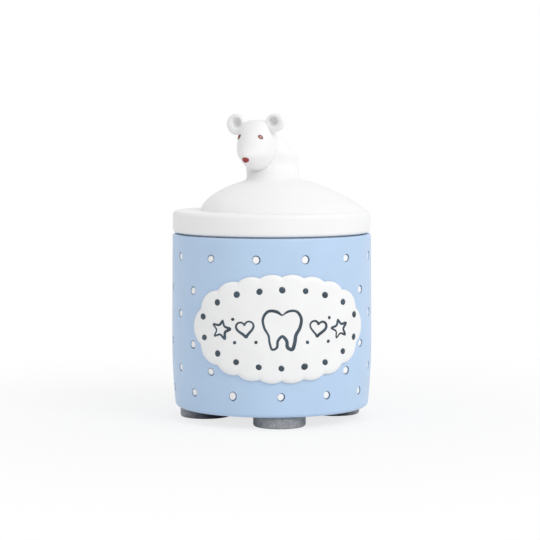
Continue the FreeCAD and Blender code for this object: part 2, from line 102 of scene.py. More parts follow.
# The lid and its ring.
LID_RADIUS = 25.7
LID_TOP_ROUND = 1.1
LID_BOTTOM_ROUND = 0.9
LID_LIP = LID_SEAT + 0.35
SEAT_RADIUS = 23.45
GROOVE_INNER = 20.05
GROOVE_OUTER = 22.35
GROOVE_TOP = LID_SEAT + 1.2

# The mouse's body.
LEDGE_LEFT = 7.2
LEDGE_RIGHT = 0.9
LEDGE_FRONT = 5.2
HAUNCH_CREST = 1.3
HAUNCH_HEIGHT = 8.0
HAUNCH_CROWN = 1.085
CHEST_FULLNESS = 1.6
RUMP_FULLNESS = 1.0
TORSO_HALF_WIDTH = 7.0
TORSO_HALF_DEPTH = 6.4
TORSO_HEIGHT = 13.1
TORSO_SIDE = 0.5
TORSO_LEAN_LEFT = 2.5
TORSO_LEAN_FRONT = 2.5
TORSO_GIRTHS = ((0.0, 1.0), (0.27, 0.92), (0.5, 0.83), (0.73, 0.65), (0.92, 0.44), (1.0, 0.26))
TORSO_HUMP = 1.5
HUMP_SHARE = 0.5
HUMP_SPREAD = 0.25
NECK_FRONT = 3.7
CHEST_REACH = 3.6
CHEST_SHARE = 0.25
MOUND_REACH = 1.2
MOUND_SHARES = (0.5, 0.95)

# The mouse's head, in a frame of its own: +X towards the nose, +Z up from the chin.
HEAD_CHIN = np.array((-3.65, -3.0, LID_TOP + 9.6))
HEAD_TURN = math.radians(30)
HEAD_HEIGHT = 13.9
HEAD_HALF_LENGTH = 5.2
HEAD_HALF_WIDTH = 5.2
MUZZLE_LENGTH = 1.6
JAW_FORWARD = 1.4
JAW_RISE = 0.3
JAW_ROOT = 1.5
JAW_SHARE = 0.5
MUZZLE_POINT = 2.5
MUZZLE_GIRTH = 0.5
# From chin to crown: shares of the head's height, of its girth, of the muzzle's length, and of how far
# the jaw is set forward.
HEAD_ROWS = (
    (0.0, 0.0, 0.12, 1.0),
    (0.01, 0.28, 0.25, 1.0),
    (0.04, 0.42, 0.5, 1.0),
    (0.09, 0.55, 0.8, 0.93),
    (0.15, 0.66, 1.0, 0.82),
    (0.22, 0.79, 0.97, 0.64),
    (0.3, 0.9, 0.78, 0.43),
    (0.4, 0.98, 0.56, 0.21),
    (0.5, 1.0, 0.38, 0.07),
    (0.62, 0.99, 0.19, 0.0),
    (0.74, 0.94, 0.0, 0.0),
    (0.85, 0.84, -0.19, 0.0),
    (0.93, 0.71, -0.31, 0.0),
    (0.965, 0.6, -0.31, 0.0),
    (0.985, 0.45, -0.31, 0.0),
    (0.996, 0.24, -0.31, 0.0),
    (1.0, 0.0, -0.31, 0.0),
)
EAR_RADIUS = 2.8
EAR_HALF_THICKNESS = 1.1
EAR_DISH_RADIUS = 1.55
EAR_DISH_DEPTH = 1.35
EAR_DISH_LIFT = 0.4
EAR_DISH_IN = 0.35
EAR_OUT = 5.8
EAR_AHEAD = 0.95
EAR_LEVEL = 12.7
EYE_TURN = math.radians(39.5)
EYE_LEVEL = 9.4
EYE_SLANT = math.radians(35)
EYE_HALF_LENGTH = 0.75
EYE_HALF_HEIGHT = 0.5
NOSE_TURN = math.radians(-1.8)
NOSE_LEVEL = 1.75
NOSE_HALF_WIDTH = 0.95
NOSE_HALF_HEIGHT = 0.78

DICE_SEED = 11
dice = random.Random(DICE_SEED)


def srgb(red, green, blue):
    """A linear colour from the usual 0 to 255 values."""
    shares = [value / 255 for value in (red, green, blue)]
    return tuple(s / 12.92 if s <= 0.04045 else ((s + 0.055) / 1.055) ** 2.4 for s in shares)


# Materials

# Noise mostly stays between the low and the high value.
NOISE_LOW = 0.3
NOISE_MIDDLE = 0.5
NOISE_HIGH = 0.7


class Paint:
    """A node material that is built up step by step around one Principled shader."""

    def __init__(self, name):
        self.material = bpy.data.materials.new(name)
        self.material.use_nodes = True
        self.nodes = self.material.node_tree.nodes
        self.links = self.material.node_tree.links
        self.shader = self.nodes["Principled BSDF"]
        self.place = self.nodes.new("ShaderNodeTexCoord").outputs["Object"]

    def grain(self, size, detail=3.0):
        """Noise whose features are about size millimetres across."""
        node = self.nodes.new("ShaderNodeTexNoise")
        node.inputs["Scale"].default_value = 1 / (size * MM)
        node.inputs["Detail"].default_value = detail
        self.links.new(self.place, node.inputs["Vector"])
        return node.outputs["Fac"]

    def tones(self, factor, stops):
        """Colours along a factor, from (position, colour) stops."""
        ramp = self.nodes.new("ShaderNodeValToRGB")
        elements = ramp.color_ramp.elements
        while len(elements) < len(stops):
            elements.new(NOISE_MIDDLE)
        for element, (position, colour) in zip(elements, stops):
            element.position = position
            element.color = (*colour, 1)
        self.links.new(factor, ramp.inputs["Fac"])
        return ramp.outputs["Color"]

    def mixed(self, factor, first, second):
        """A mix of two colour outputs."""
        node = self.nodes.new("ShaderNodeMix")
        node.data_type = "RGBA"
        self.links.new(factor, node.inputs[0])
        self.links.new(first, node.inputs[6])
        self.links.new(second, node.inputs[7])
        return node.outputs[2]

    def ranged(self, factor, low, high):
        """A factor spread over a range of values."""
        node = self.nodes.new("ShaderNodeMapRange")
        node.inputs["From Min"].default_value = NOISE_LOW
        node.inputs["From Max"].default_value = NOISE_HIGH
        node.inputs["To Min"].default_value = low
        node.inputs["To Max"].default_value = high
        self.links.new(factor, node.inputs["Value"])
        return node.outputs["Result"]

    def attribute(self, name):
        """A number that the mesh carries at its points."""
        node = self.nodes.new("ShaderNodeAttribute")
        node.attribute_name = name
        return node.outputs["Fac"]

    def bump(self, heights, depth):
        """A bumpy surface from (factor, share) pairs, with depth in millimetres."""
        normal = None
        for factor, share in heights:
            node = self.nodes.new("ShaderNodeBump")
            node.inputs["Strength"].default_value = share
            node.inputs["Distance"].default_value = depth * MM
            self.links.new(factor, node.inputs["Height"])
            if normal:
                self.links.new(normal, node.inputs["Normal"])
            normal = node.outputs["Normal"]
        self.links.new(normal, self.shader.inputs["Normal"])

    def set(self, **values):
        """Constants on the shader's own sockets, and outputs linked to them."""
        for name, value in values.items():
            socket = self.shader.inputs[name.replace("_", " ")]
            if isinstance(value, bpy.types.NodeSocket):
                self.links.new(value, socket)
            else:
                socket.default_value = value


# Sizes and strengths that all satin paints share.
CLOUD_SIZE = 7.0
GLOSS_SIZE = 2.2
BUMP_SIZE = 3.5
BUMP_DEPTH = 0.12
FINE_BUMP = 0.6
FINE_DETAIL = 4.0
COARSE_DETAIL = 2.0
SHADE_SPREAD = 0.08
BRIGHTEST = 0.95


def satin(name, stops, rough, grain_size, bump_share, shade=None):
    """A satin paint or resin: cloudy colour, uneven gloss, and a fine brushed or cast skin.

    A shade is the name of a number that the mesh carries and the colour that it brings in.
    """
    paint = Paint(name)
    cloud = paint.grain(CLOUD_SIZE, FINE_DETAIL)
    fine = paint.grain(grain_size, FINE_DETAIL)
    colour = paint.tones(cloud, stops)
    if shade:
        number, tone = shade
        second = paint.tones(fine, around_tone(tone, SHADE_SPREAD))
        colour = paint.mixed(paint.attribute(number), colour, second)
    paint.set(Base_Color=colour, Roughness=paint.ranged(paint.grain(GLOSS_SIZE), *rough))
    coarse = paint.grain(BUMP_SIZE, COARSE_DETAIL)
    paint.bump([(coarse, bump_share), (fine, bump_share * FINE_BUMP)], BUMP_DEPTH)
    return paint


def around_tone(tone, spread):
    """Three stops that wander a little to both sides of a colour."""
    low = tuple(value * (1 - spread) for value in tone)
    high = tuple(min(value * (1 + spread), BRIGHTEST) for value in tone)
    return ((NOISE_LOW, low), (NOISE_MIDDLE, tone), (NOISE_HIGH, high))


BLUE = (0.492, 0.65, 0.857)
WHITE = (0.912, 0.912, 0.914)
NAVY = srgb(50, 68, 82)
HOLLOW_SHADE_BLUE = (0.13, 0.2, 0.32)
CREVICE_SHADE_BLUE = (0.28, 0.39, 0.55)
ENAMEL_WHITE = (0.95, 0.95, 0.95)
EAR_GREY = (0.7, 0.69, 0.7)
NECK_SHADE_GREY = (0.745, 0.745, 0.75)


FIBRE_SIZE = 0.28
FIBRE_DETAIL = 6.0
CLUMP_SIZE = 1.1
FELT_DEPTH = 0.25
FIBRE_TONES = ((0.3, srgb(110, 112, 116)), (0.5, srgb(160, 162, 166)), (0.72, srgb(214, 216, 220)))
CLUMP_TONES = ((0.3, srgb(138, 140, 144)), (0.7, srgb(179, 181, 185)))
TUCKED_SHADE_TONES = ((0.3, srgb(36, 42, 50)), (0.7, srgb(78, 86, 96)))


def make_felt():
    """Grey wool felt: fibres of many greys, rough and matte, and painted darker as shade where it lies under
    the pot.
    """
    paint = Paint("grey_felt")
    fibres = paint.grain(FIBRE_SIZE, FIBRE_DETAIL)
    clumps = paint.grain(CLUMP_SIZE)
    shade = paint.tones(clumps, CLUMP_TONES)
    open_felt = paint.mixed(clumps, paint.tones(fibres, FIBRE_TONES), shade)
    shaded_felt = paint.tones(fibres, TUCKED_SHADE_TONES)
    paint.set(Base_Color=paint.mixed(paint.attribute("tucked_shade"), open_felt, shaded_felt), Roughness=0.95)
    paint.set(Sheen_Weight=0.35, Sheen_Roughness=0.6, Specular_IOR_Level=0.2)
    paint.bump([(clumps, 0.6), (fibres, 0.9)], FELT_DEPTH)
    return paint


# Each paint: its colour, the range of its roughness, the size of its grain, its bumps, and any shade.
# blue_paint turns deep blue where the sunk mark is high: painted shade down the walls of the dots' hollows.
blue_paint = satin("blue_paint", around_tone(BLUE, 0.022), (0.34, 0.46), 0.45, 0.2, ("sunk", HOLLOW_SHADE_BLUE))
white_enamel = satin("white_enamel", around_tone(ENAMEL_WHITE, 0.02), (0.3, 0.45), 0.4, 0.2)
resin_tones = around_tone(WHITE, 0.014)
# white_resin turns grey where the tucked mark is high: painted shade on the neck under the chin.
white_resin = satin("white_resin", resin_tones, (0.42, 0.56), 0.5, 0.2, ("tucked_shade", NECK_SHADE_GREY))
ear_resin = satin("ear_resin", resin_tones, (0.42, 0.56), 0.5, 0.2, ("dished", EAR_GREY))
ring_resin = satin("ring_resin", around_tone((0.78, 0.78, 0.77), 0.03), (0.45, 0.6), 0.5, 0.25)
navy_enamel = satin("navy_enamel", around_tone(NAVY, 0.45), (0.2, 0.36), 0.3, 0.3)
eye_brown = satin("eye_brown", around_tone(srgb(112, 48, 44), 0.2), (0.3, 0.45), 0.15, 0.2)
eye_pink = satin("eye_pink", around_tone(srgb(192, 142, 140), 0.12), (0.35, 0.5), 0.15, 0.2)
red_enamel = satin("red_enamel", around_tone(srgb(140, 46, 42), 0.18), (0.28, 0.45), 0.2, 0.25)
plaque_tones = around_tone(WHITE, 0.018)
# The plaque's paint turns blue-grey at its edge: painted shade where the plaque meets the wall.
plaque_paint = satin("plaque_paint", plaque_tones, (0.42, 0.56), 0.5, 0.2, ("crevice_shade", CREVICE_SHADE_BLUE))
grey_felt = make_felt()

# Mesh building


def skin(rows):
    """Points and faces over rows of points that run round a form; a row of one point is a tip."""
    points = np.concatenate(rows)
    starts = np.cumsum([0] + [len(row) for row in rows])
    faces = []
    for number, (low, high) in enumerate(zip(rows, rows[1:])):
        count = max(len(low), len(high))
        for side in range(count):
            after = (side + 1) % count
            corners = []
            if len(low) > 1:
                corners += [starts[number] + side, starts[number] + after]
            else:
                corners += [starts[number]]
            if len(high) > 1:
                corners += [starts[number + 1] + after, starts[number + 1] + side]
            else:
                corners += [starts[number + 1]]
            faces.append(tuple(int(corner) for corner in corners))
    return points, faces


def gather(parts):
    """Several (points, faces) pairs as one."""
    points, faces, shift = [], [], 0
    for part_points, part_faces in parts:
        points.append(part_points)
        faces += [tuple(corner + shift for corner in face) for face in part_faces]
        shift += len(part_points)
    return np.concatenate(points), faces


def weld(points, faces):
    """Join the points that lie in the same place, and drop faces that vanish."""
    keys = np.round(points, 3)
    first, place = np.unique(keys, axis=0, return_index=True, return_inverse=True)[1:]
    place = place.reshape(-1)
    joined = []
    for face in faces:
        corners = list(dict.fromkeys(int(place[corner]) for corner in face))
        if len(corners) > 2:
            joined.append(tuple(corners))
    return points[first], joined


def add_piece(name, shape, paints, body, replaced=(), sharp=None, paint_of=None):
    """A new piece of the object, from points in millimetres."""
    points, faces = shape
    mesh = bpy.data.meshes.new(name)
    mesh.from_pydata((np.asarray(points) * MM).tolist(), [], faces)
    mesh.polygons.foreach_set("use_smooth", [True] * len(mesh.polygons))
    for paint in paints:
        mesh.materials.append(paint.material)
    if paint_of:
        for polygon in mesh.polygons:
            polygon.material_index = paint_of(np.array(polygon.center) / MM)
    if sharp:
        mesh.set_sharp_from_angle(angle=math.radians(sharp))
    mesh.update()
    piece = put_in_scene(name, mesh)
    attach(piece, body)
    if replaced:
        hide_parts(*replaced)
    return piece


def put_in_scene(name, data):
    """A new object of the scene."""
    thing = bpy.data.objects.new(name, data)
    bpy.context.scene.collection.objects.link(thing)
    return thing


def mark(piece, name, values):
    """Numbers at the points of a piece, for its paint."""
    numbers = piece.data.attributes.new(name, "FLOAT", "POINT")
    numbers.data.foreach_set("value", np.asarray(values, np.float32))


def roughen(piece, amount, size, above=-1.0):
    """Push a piece's skin in and out by a little, in waves of about one size, above a level."""
    mesh = piece.data
    moves = []
    for vertex in mesh.vertices:
        share = min(max(vertex.co.z / MM - above, 0.0), 1.0)
        wave = noise.noise(vertex.co / (size * MM))
        moves.append(vertex.normal * wave * amount * MM * share)
    for vertex, move in zip(mesh.vertices, moves):
        vertex.co += move
    mesh.update()


def even_turns(count):
    """Angles at even steps of a full turn."""
    return TURN * np.arange(count) / count


def circle(radius, level, count, start=0.0):
    """A level ring of points, or its centre where the radius is nothing."""
    if radius <= 0:
        return np.array(((0.0, 0.0, level),))
    turns = start + even_turns(count)
    return np.stack((radius * np.sin(turns), -radius * np.cos(turns), np.full(count, level)), axis=1)


def corner_round(centre, radius, first, last, steps):
    """Points of an arc in a (radius, level) profile, between two angles in degrees."""
    turns = np.radians(np.linspace(first, last, steps + 1))
    return [(centre[0] + radius * math.cos(turn), centre[1] + radius * math.sin(turn)) for turn in turns]


def lathe(profile, count):
    """A turned form from a (radius, level) profile that starts and ends on the axis."""
    return skin([circle(radius, level, count) for radius, level in profile])


def smooth_rows(rows, per_gap):
    """A smooth run of rows through given ones."""
    rows = np.array(rows, float)
    gaps = np.linalg.norm(np.diff(rows, axis=0), axis=1)
    marks = np.concatenate(((0.0,), np.cumsum(gaps)))
    slopes = np.gradient(rows, marks, axis=0)
    run = []
    for number, gap in enumerate(gaps):
        for share in np.arange(per_gap) / per_gap:
            start = (1 + 2 * share) * (1 - share) ** 2
            leave = share * (1 - share) ** 2 * gap
            end = share**2 * (3 - 2 * share)
            arrive = share**2 * (share - 1) * gap
            ends = start * rows[number] + end * rows[number + 1]
            run.append(ends + leave * slopes[number] + arrive * slopes[number + 1])
    run.append(rows[-1])
    return np.array(run)


def eased(share):
    """A smooth step from 0 to 1."""
    share = np.clip(share, 0, 1)
    return share * share * (3 - 2 * share)


# The pot's wall


def wall_radius(level):
    """The radius of the pot's outer wall at a level."""
    level = np.asarray(level, float)
    upper = BELLY_RADIUS + (RIM_RADIUS - BELLY_RADIUS) * (level - BELLY_LEVEL) / (RIM - BELLY_LEVEL)
    lower = BELLY_RADIUS - (BELLY_RADIUS - BASE_RADIUS) * ((BELLY_LEVEL - level) / (BELLY_LEVEL - BASE)) ** 2
    return np.where(level > BELLY_LEVEL, upper, lower)


def on_wall(along, level, lift):
    """Points on the pot, from the distance round it, the level, and the height above its wall."""
    turn = np.asarray(along) / BELLY_RADIUS
    radius = wall_radius(level) + lift
    return np.stack((radius * np.sin(turn), -radius * np.cos(turn), np.asarray(level) + 0 * radius), axis=-1)


def dot_places():
    """Distance round the pot and level of each dot: staggered rows that stop short of the plaque."""
    step = 360 / DOT_COUNT
    margin = DOT_RADIUS + DOT_MARGIN
    places = []
    for row, share in enumerate(DOT_ROWS):
        level = DOT_LOWEST + share * (DOT_HIGHEST - DOT_LOWEST)
        for number in range(DOT_COUNT):
            angle = DOT_TURN + (number if row % 2 else number - 0.5) * step
            turn = math.radians((angle - PLAQUE_TURN + 180) % 360 - 180)
            across = turn * BELLY_RADIUS / (PLAQUE_WIDTH / 2 + margin)
            up = (level - PLAQUE_LEVEL) / (PLAQUE_HEIGHT / 2 + margin)
            if across**2 + up**2 >= 1:
                places.append((math.radians(angle) * BELLY_RADIUS, level))
    return places


# The wall's mesh is joined at the back, this many steps round, where no dot lies.
SEAM_STEPS = 6.25
SEAM = math.radians(DOT_TURN + 360 / DOT_COUNT * SEAM_STEPS) * BELLY_RADIUS
AROUND = TURN * BELLY_RADIUS


class Dot:
    """One hand-dabbed dot: a place and a slightly uneven outline."""

    def __init__(self, along, level, start):
        self.along = (along - start) % AROUND + start
        self.level = level
        self.girth = dice.uniform(0.94, 1.08)
        self.sway = dice.uniform(0.02, 0.07)
        self.phase = dice.uniform(0, TURN)

    def reach(self, turn):
        """How far the outline stands out in a direction, as a share of a true circle."""
        return self.girth * (1 + self.sway * np.sin(2 * turn + self.phase))

    def ring(self, radius, turns):
        """Points round the dot at a share of its outline."""
        reach = radius * self.reach(turns)
        return self.along + reach * np.cos(turns), self.level + reach * np.sin(turns)

    def distance(self, along, level):
        """How far points are from the dot's middle, measured by its own outline."""
        across, up = along - self.along, level - self.level
        return np.hypot(across, up) / self.reach(np.arctan2(up, across))


WALL_COLUMNS = 180
WALL_ROWS = 18
WALL_EDGE = 0.1
FLOOR_MARGIN = 1
SUNK_MOST = 1
SUNK_ONSET = 1.6
# How far the mouth's bevel stands out of the bore, and how far below the rim.
MOUTH_LIP = ((MOUTH_BEVEL, 0.0), (0.1, 0.2), (0.0, 0.5))
DOT_SIDES = 20
DOT_RINGS = (0.4, 0.8, 0.92, 0.97, 1.02, 1.07, 1.12, 1.28)
HOLLOW_FLAT = 0.92
HOLLOW_EDGE = 1.12
DOT_ROOM = 1.6


def hollow(distance):
    """How deep a dot's hollow is at a distance from its middle."""
    return 1 - eased((distance - HOLLOW_FLAT) / (HOLLOW_EDGE - HOLLOW_FLAT))


def flat_points(points, outline=None):
    """Triangles over flat points, all over or inside an outline."""
    flat = [Vector((float(across), float(up))) for across, up in points]
    found = geometry.delaunay_2d_cdt(flat, [], [outline] if outline else [], 1 if outline else 0, 1e-6)
    return np.array([tuple(point) for point in found[0]]), [tuple(face) for face in found[2]]


def make_pot(dots):
    """The pot: a wall with sunk dots, rounded at the foot and rim, and its bore."""
    low, high = BASE + BASE_ROUND, RIM - RIM_ROUND
    columns = SEAM + AROUND * np.arange(WALL_COLUMNS + 1) / WALL_COLUMNS
    levels = np.linspace(low, high, WALL_ROWS)
    points = [(along, level) for level in (low, high) for along in columns]
    for number, level in enumerate(levels[1:-1]):
        points += [(columns[0], level), (columns[-1], level)]
        for along in columns[1 + number % 2 : -1 : 2]:
            if all(math.hypot(along - dot.along, level - dot.level) > DOT_ROOM for dot in dots):
                points.append((along, level))
    turns = even_turns(DOT_SIDES)
    for dot in dots:
        points.append((dot.along, dot.level))
        for radius in DOT_RINGS:
            points += list(zip(*dot.ring(radius, turns)))
    flat, faces = flat_points(points)
    along, level = flat[:, 0], flat[:, 1]
    depth = np.zeros(len(flat))
    for dot in dots:
        depth = np.maximum(depth, hollow(dot.distance(along, level)))
    wall = (on_wall(along, level, -DOT_DEPTH * depth), faces)
    foot_centre = (float(wall_radius(low)) - BASE_ROUND, low)
    rim_centre = (float(wall_radius(high)) - RIM_ROUND, high)
    foot = [(0, BASE), *corner_round(foot_centre, BASE_ROUND, -90, 0, 8)]
    mouth = corner_round(rim_centre, RIM_ROUND, 0, 90, 5)
    mouth += [(BORE_RADIUS + out, RIM - down) for out, down in MOUTH_LIP]
    bore = corner_round((BORE_RADIUS - BORE_ROUND, BORE_FLOOR + BORE_ROUND), BORE_ROUND, 0, -90, 6)
    profile_top = mouth + bore + [(0, BORE_FLOOR)]
    start = SEAM / BELLY_RADIUS
    below = skin([circle(radius, level, WALL_COLUMNS, start) for radius, level in foot])
    above = skin([circle(radius, level, WALL_COLUMNS, start) for radius, level in profile_top])

    def inside(centre):
        within = math.hypot(centre[0], centre[1]) < BORE_RADIUS + MOUTH_BEVEL / 2
        return int(within and centre[2] > BASE + FLOOR_MARGIN)

    shape = weld(*gather([wall, below, above]))
    paints = [blue_paint, white_resin]
    replaced = ["jar_shell"]
    piece = add_piece("painted_pot", shape, paints, "jar", replaced, sharp=40, paint_of=inside)
    points = shape[0]
    # Painted shade: the sunk mark darkens the blue down the walls of each dot's hollow.
    depth = wall_radius(points[:, 2]) - np.hypot(points[:, 0], points[:, 1])
    on_side = (points[:, 2] > low + WALL_EDGE) & (points[:, 2] < high - WALL_EDGE) & (depth < SUNK_MOST)
    mark(piece, "sunk", np.where(on_side, eased(depth / DOT_DEPTH * SUNK_ONSET), 0))


def dabs(places, profile, lift):
    """Small dabs of paint on the pot.

    Each is a closed lens, from a profile of (share of outline, height) rows.
    """
    turns = even_turns(DOT_SIDES)
    parts = []
    for dot in places:
        rows = []
        for radius, height in profile:
            if radius == 0:
                rows.append(on_wall(np.array([dot.along]), np.array([dot.level]), lift + height))
            else:
                rows.append(on_wall(*dot.ring(radius, turns), lift + height))
        parts.append(skin(rows))
    return gather(parts)


ENAMEL_BACK = 0.06
ENAMEL_ASIDE = 0.13
ENAMEL_SAG = 0.05
ENAMEL_BOTTOM = -DOT_DEPTH - ENAMEL_BACK
# Shares of a dot's outline, and heights above the wall.
ENAMEL_PROFILE = (
    (0, ENAMEL_BOTTOM), (0.86, ENAMEL_BOTTOM), (0.9, -0.32), (0.85, -0.22),
    (0.72, -0.18), (0.4, -0.16), (0, -0.16),
)


def make_wall_dots(dots):
    """White enamel dabbed into each hollow of the wall, to one side, so that a crescent of the hollow's wall,
    painted dark as shade, is left bare.
    """
    for dot in dots:
        dot.along -= ENAMEL_ASIDE
        dot.level -= math.copysign(ENAMEL_SAG, dot.level - PLAQUE_LEVEL)
    shape = dabs(dots, ENAMEL_PROFILE, 0.0)
    add_piece("enamel_dots", shape, [white_enamel], "jar", ["wall_dots"], sharp=60)


# The plaque

OVAL_STEPS = 721


def oval_stations(half_width, half_height, count, shift=0.0):
    """Points set at even distances round an oval, from its top or a share of a step past it."""
    turns = np.linspace(0, TURN, OVAL_STEPS)
    across, up = half_width * np.sin(turns), half_height * np.cos(turns)
    lengths = np.concatenate(((0.0,), np.cumsum(np.hypot(np.diff(across), np.diff(up)))))
    wanted = lengths[-1] * (np.arange(count) + shift) / count
    return np.stack((np.interp(wanted, lengths, across), np.interp(wanted, lengths, up)), axis=1)


CORE_WIDTH = PLAQUE_WIDTH / 2 - LOBE_RADIUS
CORE_HEIGHT = PLAQUE_HEIGHT / 2 - LOBE_RADIUS
LOBES = oval_stations(CORE_WIDTH, CORE_HEIGHT, LOBE_COUNT, 0.5)
PLAQUE_ALONG = math.radians(PLAQUE_TURN) * BELLY_RADIUS
PILLOW = 1.5
OUTLINE_SIDES = 432
INNER_RINGS = (0.05, 0.16, 0.34, 0.6, 0.95, 1.4)
STUD_RINGS = (0.4, 0.7, 0.85, 1.0, 1.15, 1.3)
STUD_ROOM = 1.5
STUD_FLAT = 0.55
STUD_SLOPE = 0.65
# Shares of a stud's outline, and heights above the plaque's face.
STUD_PROFILE = ((0, -0.5), (0.78, -0.5), (0.84, -0.2), (0.78, -0.12), (0.6, -0.03), (0.3, 0.03), (0, 0.05))
GRID_STEP = 1.3
GRID_INSET = 1.8
PLAQUE_SUNK = 0.08
CREVICE_SHADE_SHARE = 0.9
CREVICE_SHADE_WIDTH = 0.13


def inside_plaque(across, up):
    """How far points lie inside the plaque's scalloped outline."""
    depth = (1 - np.hypot(across / CORE_WIDTH, up / CORE_HEIGHT)) * CORE_HEIGHT
    for lobe in LOBES:
        depth = np.maximum(depth, LOBE_RADIUS - np.hypot(across - lobe[0], up - lobe[1]))
    return np.maximum(depth, 0)


def plaque_outline():
    """The direction and distance of the plaque's outline from its middle."""
    turns = even_turns(OUTLINE_SIDES)
    across, up = np.cos(turns), np.sin(turns)
    reach = np.zeros(OUTLINE_SIDES)
    for lobe in LOBES:
        along = across * lobe[0] + up * lobe[1]
        aside = LOBE_RADIUS**2 - (lobe @ lobe - along**2)
        reach = np.maximum(reach, np.where(aside > 0, along + np.sqrt(np.maximum(aside, 0)), 0))
    return turns, reach


def pillow(depth):
    """The plaque's height at a distance inside its outline: full, with a soft round edge."""
    share = np.clip(depth / PILLOW, 0, 1)
    return PLAQUE_THICKNESS * np.sqrt(1 - (1 - share) ** 2)


def make_studs_list():
    """The studs of the plaque's border, one inside each notch."""
    half_width = PLAQUE_WIDTH / 2 - STUD_SIDE_MARGIN
    half_height = PLAQUE_HEIGHT / 2 - STUD_TOP_MARGIN
    stations = oval_stations(half_width, half_height, LOBE_COUNT)
    studs = []
    for across, up in stations:
        along = PLAQUE_ALONG + across + dice.uniform(-STUD_STRAY, STUD_STRAY)
        level = PLAQUE_LEVEL + up + dice.uniform(-STUD_STRAY, STUD_STRAY)
        studs.append(Dot(along, level, -AROUND / 2))
    return studs


def make_plaque(studs):
    """The scalloped plaque: a soft pillow with a shallow hollow for each stud."""
    turns, reach = plaque_outline()
    points = list(zip(reach * np.cos(turns), reach * np.sin(turns)))
    for inset in INNER_RINGS:
        points += list(zip((reach - inset) * np.cos(turns), (reach - inset) * np.sin(turns)))
    around_stud = even_turns(DOT_SIDES)
    for stud in studs:
        points.append((stud.along - PLAQUE_ALONG, stud.level - PLAQUE_LEVEL))
        for radius in STUD_RINGS:
            along, level = stud.ring(radius * STUD_RADIUS, around_stud)
            points += list(zip(along - PLAQUE_ALONG, level - PLAQUE_LEVEL))
    half_width, half_height = PLAQUE_WIDTH / 2, PLAQUE_HEIGHT / 2
    for up in np.arange(-half_height, half_height, GRID_STEP):
        for across in np.arange(-half_width, half_width, GRID_STEP):
            along, level = across + PLAQUE_ALONG, up + PLAQUE_LEVEL
            near = min(math.hypot(along - stud.along, level - stud.level) for stud in studs)
            if inside_plaque(across, up) > GRID_INSET and near > STUD_RADIUS * STUD_ROOM:
                points.append((across, up))
    flat, faces = flat_points(points, list(range(OUTLINE_SIDES)))
    across, up = flat[:, 0], flat[:, 1]
    height = pillow(inside_plaque(across, up))
    for stud in studs:
        far = stud.distance(across + PLAQUE_ALONG, up + PLAQUE_LEVEL) / STUD_RADIUS
        height = height - STUD_DEPTH * (1 - eased((far - STUD_FLAT) / STUD_SLOPE))
    front = on_wall(across + PLAQUE_ALONG, up + PLAQUE_LEVEL, height)
    back = on_wall(across + PLAQUE_ALONG, up + PLAQUE_LEVEL, -PLAQUE_SUNK)
    count = len(flat)
    closed = faces + [tuple(corner + count for corner in reversed(face)) for face in faces]
    for side in range(OUTLINE_SIDES):
        after = (side + 1) % OUTLINE_SIDES
        closed.append((side + count, after + count, after, side))
    shape = (np.concatenate((front, back)), closed)
    piece = add_piece("scalloped_plaque", shape, [plaque_paint], "jar", ["plaque"], sharp=75)
    # Painted shade: blue-grey along the plaque's edge, and all over its hidden back.
    shade = CREVICE_SHADE_SHARE * (1 - eased(inside_plaque(across, up) / CREVICE_SHADE_WIDTH))
    mark(piece, "crevice_shade", np.concatenate((shade, np.ones(count))))


def make_studs(studs):
    """Dark blue enamel in the plaque's hollows, a shallow dome in each."""
    shape = dabs(studs, STUD_PROFILE, PLAQUE_THICKNESS)
    add_piece("border_studs", shape, [navy_enamel], "jar", ["plaque_dots"], sharp=60)


# The painted emblem on the plaque: a tooth between hearts and stars

STROKE_HEIGHT = 0.1
STROKE_EVEN = 0.85
STROKE_SWAY = 0.22
STROKE_WAVES = 1.3
STROKE_TIP = 0.45
STROKE_TAPER = 14
# Across a stroke: shares of its width, and of its height where it lies above the plaque.
STROKE_SHAPE = ((-0.5, -0.08), (-0.5, 0.0), (-0.3, 0.8), (0.0, 1.0), (0.3, 0.8), (0.5, 0.0), (0.5, -0.08))


def brush_stroke(path, width):
    """A raised stroke of paint along a path on the plaque, a little wider and thinner by turns."""
    path = np.array(path, float)
    ahead = np.gradient(path, axis=0)
    ahead /= np.linalg.norm(ahead, axis=1)[:, None]
    aside = np.stack((-ahead[:, 1], ahead[:, 0]), axis=1)
    share = np.linspace(0, 1, len(path))
    sway = width * (STROKE_EVEN + STROKE_SWAY * np.sin(TURN * (STROKE_WAVES * share + dice.random())))
    sway *= np.clip(np.minimum(share, 1 - share) * STROKE_TAPER + STROKE_TIP, 0, 1)
    rows = []
    for point, across, wide in zip(path, aside, sway):
        ring = []
        for offset, rise in STROKE_SHAPE:
            place = point + across * offset * wide
            lift = PLAQUE_THICKNESS + (rise if rise < 0 else rise * STROKE_HEIGHT)
            ring.append(on_wall(PLAQUE_ALONG + place[0], PLAQUE_LEVEL + place[1], lift))
        rows.append(np.array(ring)[::-1])
    return skin([rows[0].mean(axis=0)[None], *rows, rows[-1].mean(axis=0)[None]])


TOOTH_HALF = (
    (0.0, 3.5), (-1.5, 4.5), (-3.4, 4.5), (-4.6, 2.8), (-4.3, 0.4), (-3.3, -1.5),
    (-3.0, -3.4), (-2.3, -5.0), (-1.4, -4.6), (-1.0, -2.7), (0.0, -1.7),
)


def tooth_path():
    """The outline of a milk tooth, drawn in one stroke."""
    right = [(-across, up) for across, up in TOOTH_HALF[-2::-1]]
    return smooth_rows([*TOOTH_HALF, *right], 7)


def heart_path(scale):
    """The outline of a heart."""
    turns = np.linspace(0, TURN, 44)
    across = 16 * np.sin(turns) ** 3
    up = 13 * np.cos(turns) - 5 * np.cos(2 * turns) - 2 * np.cos(3 * turns) - np.cos(4 * turns)
    return np.stack((across, up), axis=1) * scale / 16


